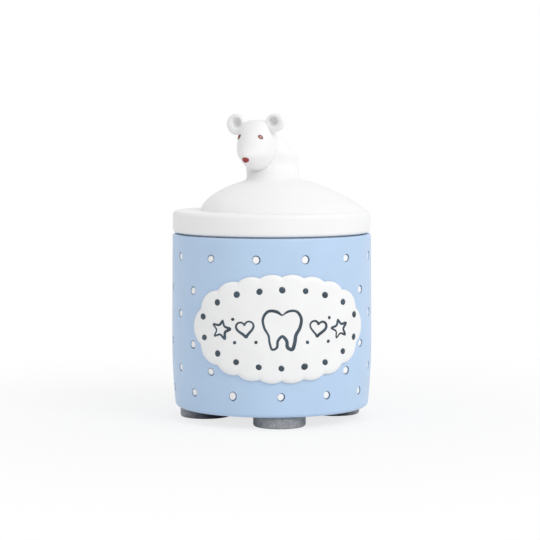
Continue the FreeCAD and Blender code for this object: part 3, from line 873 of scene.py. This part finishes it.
def star_path(scale):
    """The outline of a five-pointed star with soft corners."""
    turns = TURN * np.arange(11) / 10
    reach = np.where(np.arange(11) % 2, 0.5, 1.0) * scale
    return smooth_rows(np.stack((reach * np.sin(turns), reach * np.cos(turns)), axis=1), 5)


def turned(path, angle, place):
    """A path swung by an angle in degrees and moved to a place."""
    turn = math.radians(angle)
    swing = np.array(((math.cos(turn), math.sin(turn)), (-math.sin(turn), math.cos(turn))))
    return np.asarray(path) @ swing + np.array(place)


# The width of each stroke, and the size, tilt and place of the right-hand heart and star. The left ones
# mirror them.
TOOTH_STROKE = 0.85
HEART_STROKE = 0.72
HEART_SCALE = 2.2
HEART_TILT = -8
HEART_PLACE = (9.0, 0.2)
STAR_STROKE = 0.66
STAR_SCALE = 2.5
STAR_TILT = 12
STAR_PLACE = (15.2, -0.3)
DROP_PLACES = ((-12.1, 2.4), (12.1, 2.6), (-6.3, -3.2), (6.2, -3.3), (-11.6, -3.4), (11.8, -3.3))
DROP_PROFILE = ((0, -0.08), (0.4, -0.08), (0.42, 0.0), (0.34, 0.07), (0, 0.11))


def make_emblem():
    """Hand-painted strokes in the middle of the plaque."""
    parts = [brush_stroke(tooth_path(), TOOTH_STROKE)]
    for side in (-1, 1):
        heart = turned(heart_path(HEART_SCALE), HEART_TILT * side, (HEART_PLACE[0] * side, HEART_PLACE[1]))
        parts.append(brush_stroke(heart, HEART_STROKE))
        star = turned(star_path(STAR_SCALE), STAR_TILT * side, (STAR_PLACE[0] * side, STAR_PLACE[1]))
        parts.append(brush_stroke(star, STAR_STROKE))
    drops = [Dot(PLAQUE_ALONG + across, PLAQUE_LEVEL + up, -AROUND / 2) for across, up in DROP_PLACES]
    parts.append(dabs(drops, DROP_PROFILE, PLAQUE_THICKNESS))
    add_piece("plaque_emblem", gather(parts), [navy_enamel], "jar", sharp=80)


# The feet

FOOT_RADIUS = 6.7
FOOT_ROUND = 0.6
FOOT_SIDES = 96
FOOT_INNER = 0.5
FOOT_OUTER = 0.9
FUZZ_FINE = 0.5
FUZZ_COARSE = 1.6
FUZZ_HEIGHT = 0.05
FUZZ_INSET = 0.04
# The felt is painted darker as shade inward from this far out on the pot, and upward over the last part of
# its thickness.
TUCK_REACH = 25.2
TUCK_FADE = 9.0
TUCK_DEPTH = 1.2
TUCK_SHARE = 0.5


def make_foot(side):
    """One felt foot under the pot, its lower edge eased and its side a little fuzzy."""
    node = f"foot_{side}"
    low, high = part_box(node)
    middle = np.array([(low[0] + high[0]) / 2, (low[1] + high[1]) / 2, 0]) / MM
    profile = [(0, 0.0), (FOOT_RADIUS * FOOT_INNER, 0.0)]
    profile += corner_round((FOOT_RADIUS - FOOT_ROUND, FOOT_ROUND), FOOT_ROUND, -90, 0, 5)
    profile += [(FOOT_RADIUS, level) for level in np.linspace(FOOT_ROUND, BASE, 7)[1:]]
    profile += [(FOOT_RADIUS * FOOT_INNER, BASE), (0, BASE)]
    points, faces = lathe(profile, FOOT_SIDES)
    points = points + middle
    piece = add_piece(f"felt_{node}", (points, faces), [grey_felt], "jar", [node], sharp=60)
    # Painted shade on the felt: darker inward under the pot, and towards its top where it meets the pot.
    inward = eased((TUCK_REACH - np.hypot(points[:, 0], points[:, 1])) / TUCK_FADE)
    upward = TUCK_SHARE * eased(1 - (BASE - points[:, 2]) / TUCK_DEPTH)
    mark(piece, "tucked_shade", np.maximum(inward, upward))
    for vertex in piece.data.vertices:
        out = Vector((vertex.co.x - middle[0] * MM, vertex.co.y - middle[1] * MM, 0))
        if out.length > FOOT_RADIUS * FOOT_OUTER * MM:
            fuzz = noise.noise(vertex.co / (FUZZ_FINE * MM)) + noise.noise(vertex.co / (FUZZ_COARSE * MM))
            vertex.co += out.normalized() * (FUZZ_HEIGHT * fuzz - FUZZ_INSET) * MM


# The lid

LID_SIDES = 180
LID_RINGS = (21, 17, 12, 6, 0)
LID_SMOOTH_UP_TO = LID_SEAT + 0.4


def make_lid():
    """The lid's plate: soft edges, a groove underneath for the ring, and a lip that clears the rim."""
    profile = [(0, LID_SEAT), (GROOVE_INNER, LID_SEAT), (GROOVE_INNER, GROOVE_TOP)]
    profile += [(GROOVE_OUTER, GROOVE_TOP), (GROOVE_OUTER, LID_SEAT)]
    profile += [(SEAT_RADIUS, LID_SEAT), (SEAT_RADIUS, LID_LIP)]
    edge = LID_RADIUS - LID_BOTTOM_ROUND
    profile += corner_round((edge, LID_LIP + LID_BOTTOM_ROUND), LID_BOTTOM_ROUND, -90, 0, 8)
    profile.append((LID_RADIUS, (LID_SEAT + LID_TOP) / 2))
    edge = LID_RADIUS - LID_TOP_ROUND
    profile += corner_round((edge, LID_TOP - LID_TOP_ROUND), LID_TOP_ROUND, 0, 90, 10)
    profile += [(radius, LID_TOP) for radius in LID_RINGS]
    shape = lathe(profile, LID_SIDES)
    piece = add_piece("resin_lid", shape, [white_resin], "lid", ["lid_plate"], sharp=45)
    roughen(piece, amount=0.05, size=9.0, above=LID_SMOOTH_UP_TO)


# The mouse


def haunch_row(share):
    """The mound's reach to the left, right, front and back at a share of its height, and its level."""
    crown = max(share, 0) / HAUNCH_CROWN
    reach_left = LID_RADIUS - LEDGE_LEFT + HAUNCH_CREST
    reach_right = LID_RADIUS - LEDGE_RIGHT - HAUNCH_CREST
    left = reach_left * math.sqrt(1 - crown**CHEST_FULLNESS)
    right = reach_right * math.sqrt(1 - crown**RUMP_FULLNESS)
    depth = (LID_RADIUS - LEDGE_FRONT) * (left + right) / (reach_left + reach_right)
    low, high = MOUND_SHARES
    chest = MOUND_REACH * float(eased((share - low) / (high - low)))
    return left - HAUNCH_CREST, right + HAUNCH_CREST, depth + chest, depth, LID_TOP + share * HAUNCH_HEIGHT


def torso_row(share):
    """The same of the shoulders, with a hump on the right and a chest that runs out into the mound."""
    shares, girths = zip(*TORSO_GIRTHS)
    girth = float(np.interp(share, shares, girths))
    middle = TORSO_SIDE - share * TORSO_LEAN_LEFT
    half = TORSO_HALF_WIDTH * girth
    hump = TORSO_HUMP * math.exp(-(((share - HUMP_SHARE) / HUMP_SPREAD) ** 2))
    front = NECK_FRONT + CHEST_REACH * float(1 - eased(share / CHEST_SHARE))
    back = TORSO_HALF_DEPTH * girth - share * TORSO_LEAN_FRONT
    return half - middle, half + middle + hump, front, back, LID_TOP + HAUNCH_HEIGHT + share * TORSO_HEIGHT


HAUNCH_SHARES = (-0.1, 0.0, 0.05, 0.1, 0.2, 0.3, 0.4, 0.5, 0.6, 0.7, 0.8, 0.88, 0.94)
TORSO_SHARES = (0.04, 0.12, 0.27, 0.5, 0.73, 0.92, 1.0)
BODY_SIDES = 120
# The neck is painted darker as shade within this reach of a place that lies this far below the chin.
NECK_SHADE_REACH = 6.5
NECK_SHADE_DROP = np.array((0, 0, 1.5))


def make_mouse_body():
    """The crouching body and the shoulders, in one soft casting."""
    rows = [haunch_row(share) for share in HAUNCH_SHARES]
    rows += [torso_row(share) for share in TORSO_SHARES]
    turns = even_turns(BODY_SIDES)
    rings = []
    for left, right, front, back, level in smooth_rows(rows, 4):
        across = (right - left) / 2 + (right + left) / 2 * np.sin(turns)
        along = (back - front) / 2 - (back + front) / 2 * np.cos(turns)
        rings.append(np.stack((across, along, np.full(len(turns), level)), axis=1))
    shape = skin([rings[0].mean(axis=0)[None], *rings, rings[-1].mean(axis=0)[None]])
    replaced = ["mouse_haunches", "mouse_torso"]
    piece = add_piece("mouse_body", shape, [white_resin], "lid", replaced)
    # Painted shade on the neck, darkest just below the chin.
    away = np.linalg.norm(shape[0] - HEAD_CHIN + NECK_SHADE_DROP, axis=1)
    mark(piece, "tucked_shade", eased(1 - away / NECK_SHADE_REACH))
    roughen(piece, amount=0.16, size=8.0, above=LID_TOP)


def from_head(points):
    """Points of the head's own frame, in the object's frame."""
    points = np.asarray(points, float)
    nose = np.array((-math.sin(HEAD_TURN), -math.cos(HEAD_TURN), 0))
    side = np.array((math.cos(HEAD_TURN), -math.sin(HEAD_TURN), 0))
    up = np.array((0, 0, 1.0))
    return HEAD_CHIN + points[..., 0:1] * nose + points[..., 1:2] * side + points[..., 2:3] * up


# The head's levels, with its girth, muzzle and jaw at each, as a smooth run.
HEAD_SCALE = np.array((HEAD_HEIGHT, HEAD_HALF_WIDTH, MUZZLE_LENGTH, JAW_FORWARD))
HEAD_RUN = smooth_rows(HEAD_ROWS * HEAD_SCALE, 5) / HEAD_SCALE


def head_skin(turn, level):
    """The head's skin at an angle from the nose and a level above the chin, before the jaw is tilted up."""
    share = np.asarray(level) / HEAD_HEIGHT
    girth = np.interp(share, HEAD_RUN[:, 0], HEAD_RUN[:, 1])
    snout = MUZZLE_LENGTH * np.interp(share, HEAD_RUN[:, 0], HEAD_RUN[:, 2])
    snout = snout * np.minimum(girth / MUZZLE_GIRTH, 1)
    set_forward = JAW_FORWARD * np.interp(share, HEAD_RUN[:, 0], HEAD_RUN[:, 3])
    facing = np.maximum(np.cos(turn), 0)
    ahead = HEAD_HALF_LENGTH * girth * np.cos(turn) + snout * facing**MUZZLE_POINT + set_forward
    aside = HEAD_HALF_WIDTH * girth * np.sin(turn)
    lift = JAW_RISE * np.maximum(ahead + JAW_ROOT, 0) * (1 - eased(share / JAW_SHARE))
    return np.stack((ahead, aside, np.asarray(level) + lift), axis=-1)


HEAD_SIDES = 96


def make_head():
    """The blunt upright head."""
    turns = even_turns(HEAD_SIDES)
    rows = [head_skin(np.zeros(1), 0.0)]
    rows += [head_skin(turns, level) for level in HEAD_RUN[1:-1, 0] * HEAD_HEIGHT]
    rows.append(head_skin(np.zeros(1), HEAD_HEIGHT))
    points, faces = skin(rows)
    shape = (from_head(points), faces)
    piece = add_piece("mouse_face", shape, [white_resin], "lid", ["mouse_head"])
    roughen(piece, amount=0.08, size=4.0)


EAR_SIDES = 48
EAR_LIP = 0.42
# By side: over how much of the dish its grey fades in.
EAR_DISH_FADE = {1: 0.45, -1: 0.8}
# Shares of the ear's radius, from the middle of its back to its rim and on to the front, and of the
# dish's radius.
EAR_CUP_SHARES = (0, 0.35, 0.62, 0.82, 0.94, 0.99, 1.0, 0.99, 0.95, 0.88, 0.8)
EAR_BACK_ROWS = 5
EAR_DISH_SHARES = (0.97, 0.9, 0.78, 0.6, 0.35, 0)
# By side: how wide and how tall each ear is, as shares of its radius.
EAR_SHARES = {1: (1.0, 0.86), -1: (1.0, 1.0)}


def make_ear(label, side):
    """A round ear: a full back, a rolled rim and a dished front."""
    turns = even_turns(EAR_SIDES)
    across_share, up_share = EAR_SHARES[side]
    profile = []
    for share in EAR_CUP_SHARES:
        rim = EAR_HALF_THICKNESS * math.sqrt(1 - share**2)
        profile.append((share * EAR_RADIUS, rim if len(profile) > EAR_BACK_ROWS else -rim, 0.0))
    for share in EAR_DISH_SHARES:
        dish = EAR_DISH_DEPTH * math.sqrt(1 - share**2)
        profile.append((share * EAR_DISH_RADIUS, EAR_HALF_THICKNESS - max(dish, EAR_LIP), 1.0))
    rows = []
    for radius, ahead, dished in profile:
        middle = side * (EAR_OUT - dished * EAR_DISH_IN)
        level = EAR_LEVEL + dished * EAR_DISH_LIFT + EAR_RADIUS * (1 - up_share)
        if radius == 0:
            rows.append(np.array(((EAR_AHEAD + ahead, middle, level),)))
        else:
            aside = middle + radius * across_share * np.cos(turns)
            forward = np.full(EAR_SIDES, EAR_AHEAD + ahead)
            rows.append(np.stack((forward, aside, level + radius * up_share * np.sin(turns)), axis=1))
    points, faces = skin(rows)
    node = f"mouse_ear_{label}"
    piece = add_piece(f"{node}_cup", (from_head(points), faces), [ear_resin], "lid", [node])
    tones = []
    for row, (radius, ahead, dished) in zip(rows, profile):
        tones += [dished * float(eased((EAR_DISH_RADIUS - radius) / EAR_DISH_FADE[side]))] * len(row)
    mark(piece, "dished", tones)
    roughen(piece, amount=0.06, size=2.5)


def on_head(turn, level, rolled, across, up, out):
    """Points of a small form that faces out of the head at an angle from the nose."""
    place = head_skin(np.array(turn), level)
    facing = np.array((math.cos(turn), math.sin(turn), 0))
    aside = np.array((-math.sin(turn), math.cos(turn), 0))
    lift = np.array((0, 0, 1.0))
    along = aside * math.cos(rolled) + lift * math.sin(rolled)
    upward = lift * math.cos(rolled) - aside * math.sin(rolled)
    points = place + across[:, None] * along + up[:, None] * upward + out[:, None] * facing
    return from_head(points)


BEAD_SIDES = 32
BEAD_TURNS = even_turns(BEAD_SIDES)


def bead_skin(place, rows, across, up):
    """A bead on the head, from its outline and rows of (share of the outline, height above the head)."""
    rings = []
    for share, out in rows:
        if share == 0:
            rings.append(on_head(*place, np.zeros(1), np.zeros(1), np.array([out])))
        else:
            rings.append(on_head(*place, share * across, share * up, np.full(BEAD_SIDES, out)))
    return skin(rings)


# From the back of an eye to its front: shares of its outline, and heights above the head.
EYE_ROWS = (
    (0.0, -0.35), (0.9, -0.35), (1.0, 0.02), (0.86, 0.14),
    (0.64, 0.2), (0.6, 0.17), (0.3, 0.24), (0.0, 0.26),
)
EYE_PALE_ROWS = 3
EYE_NARROWING = 0.3
EYE_FAR_STRETCH = 1.35


def make_eye(label, side):
    """An almond eye: a dark rim with a paler middle, its outer corner lower."""
    stretch = 1 if side > 0 else EYE_FAR_STRETCH
    across = EYE_HALF_LENGTH * np.cos(BEAD_TURNS) * stretch
    narrow = 1 - EYE_NARROWING * np.cos(BEAD_TURNS) ** 4
    up = EYE_HALF_HEIGHT * np.sin(BEAD_TURNS) * narrow
    shape = bead_skin((side * EYE_TURN, EYE_LEVEL, -side * EYE_SLANT), EYE_ROWS, across, up)
    node = f"mouse_eye_{label}"
    piece = add_piece(f"{node}_bead", shape, [eye_brown, eye_pink], "lid", [node])
    dark_rows = len(EYE_ROWS) - EYE_PALE_ROWS
    for polygon in piece.data.polygons:
        polygon.material_index = int(polygon.index >= dark_rows * BEAD_SIDES)


NOSE_FLARE = 0.22
# From the back of the nose to its tip: shares of its outline, and heights above the head.
NOSE_ROWS = ((0.0, -0.5), (0.9, -0.5), (1.0, 0.0), (0.93, 0.25), (0.75, 0.45), (0.45, 0.6), (0.0, 0.66))


def make_nose():
    """The nose: a soft three-cornered bead, wider at the top."""
    across = NOSE_HALF_WIDTH * np.cos(BEAD_TURNS) * (1 + NOSE_FLARE * np.sin(BEAD_TURNS))
    up = NOSE_HALF_HEIGHT * np.sin(BEAD_TURNS)
    shape = bead_skin((NOSE_TURN, NOSE_LEVEL, 0.0), NOSE_ROWS, across, up)
    piece = add_piece("mouse_nose_bead", shape, [red_enamel], "lid", ["mouse_nose"])
    roughen(piece, amount=0.08, size=0.8)


# Put the object together

wall_dots = [Dot(along, level, SEAM) for along, level in dot_places()]
border_studs = make_studs_list()
make_pot(wall_dots)
make_wall_dots(wall_dots)
make_plaque(border_studs)
make_studs(border_studs)
make_emblem()
for foot_side in ("front", "right", "back", "left"):
    make_foot(foot_side)
make_lid()
make_mouse_body()
make_head()
for ear_label, ear_side in (("left", 1), ("right", -1)):
    make_ear(ear_label, ear_side)
    make_eye(ear_label, ear_side)
make_nose()
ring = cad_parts["lid_seat_ring"]
ring.data.materials.clear()
ring.data.materials.append(ring_resin.material)

# The studio

CAMERA_PLACE = (-0.00046, -0.511, 0.0767)
CAMERA_PITCH = math.radians(4.3)
CAMERA_LENS = 131.0
SENSOR = 36.0
FLOOR_SIZE = 80.0
FLOOR_TONE = 0.9
FLOOR_GLOW = 0.75
SHADOW_NEAR = 0.03
SHADOW_FAR = 0.16
WORLD_LIGHT = 0.745
KEY_ANGLE = math.radians(44)
KEY_RISE = math.radians(38)
KEY_FAR = 1.2
KEY_SIZE = 0.6
KEY_POWER = 4.6
KEY_AIM = (0, 0, 0.04)


def make_camera():
    """The camera, at the photograph's place, looking a little down."""
    data = bpy.data.cameras.new("camera")
    data.lens = CAMERA_LENS
    data.sensor_width = SENSOR
    camera = put_in_scene("camera", data)
    camera.location = CAMERA_PLACE
    camera.rotation_euler = (math.pi / 2 - CAMERA_PITCH, 0, 0)
    bpy.context.scene.camera = camera


def seen_rays(nodes, links):
    """1 for rays that show the surface, straight or by reflection, and 0 for rays that only light others."""
    path = nodes.new("ShaderNodeLightPath")
    total = path.outputs["Is Camera Ray"]
    for name in ("Is Glossy Ray", "Is Transmission Ray"):
        larger = nodes.new("ShaderNodeMath")
        larger.operation = "MAXIMUM"
        links.new(total, larger.inputs[0])
        links.new(path.outputs[name], larger.inputs[1])
        total = larger.outputs["Value"]
    return total


def make_world():
    """A white surround that lights the object softly."""
    world = bpy.data.worlds.new("surround")
    world.use_nodes = True
    nodes, links = world.node_tree.nodes, world.node_tree.links
    background = nodes["Background"]
    background.inputs["Color"].default_value = (1, 1, 1, 1)
    strength = nodes.new("ShaderNodeMapRange")
    strength.inputs["To Min"].default_value = WORLD_LIGHT
    strength.inputs["To Max"].default_value = 1.0
    links.new(seen_rays(nodes, links), strength.inputs["Value"])
    links.new(strength.outputs["Result"], background.inputs["Strength"])
    bpy.context.scene.world = world


def make_floor():
    """A plain white floor that keeps a soft shadow near the object and is plain white further off."""
    half = FLOOR_SIZE / 2
    mesh = bpy.data.meshes.new("floor")
    corners = [(-half, -half, 0), (half, -half, 0), (half, half, 0), (-half, half, 0)]
    mesh.from_pydata(corners, [], [(0, 1, 2, 3)])
    material = bpy.data.materials.new("white_floor")
    material.use_nodes = True
    nodes, links = material.node_tree.nodes, material.node_tree.links
    nodes.clear()
    matte = nodes.new("ShaderNodeBsdfDiffuse")
    matte.inputs["Color"].default_value = (FLOOR_TONE, FLOOR_TONE, FLOOR_TONE, 1)
    glow = nodes.new("ShaderNodeEmission")
    glow.inputs["Color"].default_value = (1, 1, 1, 1)
    away = nodes.new("ShaderNodeVectorMath")
    away.operation = "LENGTH"
    share = nodes.new("ShaderNodeMapRange")
    share.interpolation_type = "SMOOTHSTEP"
    share.inputs["From Min"].default_value = SHADOW_NEAR
    share.inputs["From Max"].default_value = SHADOW_FAR
    share.inputs["To Min"].default_value = FLOOR_GLOW
    share.inputs["To Max"].default_value = 1.0
    seen = nodes.new("ShaderNodeMath")
    seen.operation = "MULTIPLY"
    mix = nodes.new("ShaderNodeMixShader")
    result = nodes.new("ShaderNodeOutputMaterial")
    links.new(nodes.new("ShaderNodeNewGeometry").outputs["Position"], away.inputs[0])
    links.new(away.outputs["Value"], share.inputs["Value"])
    links.new(seen_rays(nodes, links), seen.inputs[0])
    links.new(share.outputs["Result"], seen.inputs[1])
    links.new(seen.outputs["Value"], mix.inputs["Fac"])
    links.new(matte.outputs["BSDF"], mix.inputs[1])
    links.new(glow.outputs["Emission"], mix.inputs[2])
    links.new(mix.outputs["Shader"], result.inputs["Surface"])
    mesh.materials.append(material)
    put_in_scene("floor", mesh)


def make_lamp():
    """A soft square lamp that looks at the object from the camera's right."""
    data = bpy.data.lights.new("key", "AREA")
    data.size = KEY_SIZE
    data.energy = KEY_POWER
    lamp = put_in_scene("key", data)
    level = math.cos(KEY_RISE)
    away = Vector((math.sin(KEY_ANGLE) * level, -math.cos(KEY_ANGLE) * level, math.sin(KEY_RISE)))
    lamp.location = Vector(KEY_AIM) + away * KEY_FAR
    lamp.rotation_euler = away.to_track_quat("Z", "Y").to_euler()


make_camera()
make_world()
make_floor()
make_lamp()
bpy.context.scene.view_settings.view_transform = "Standard"
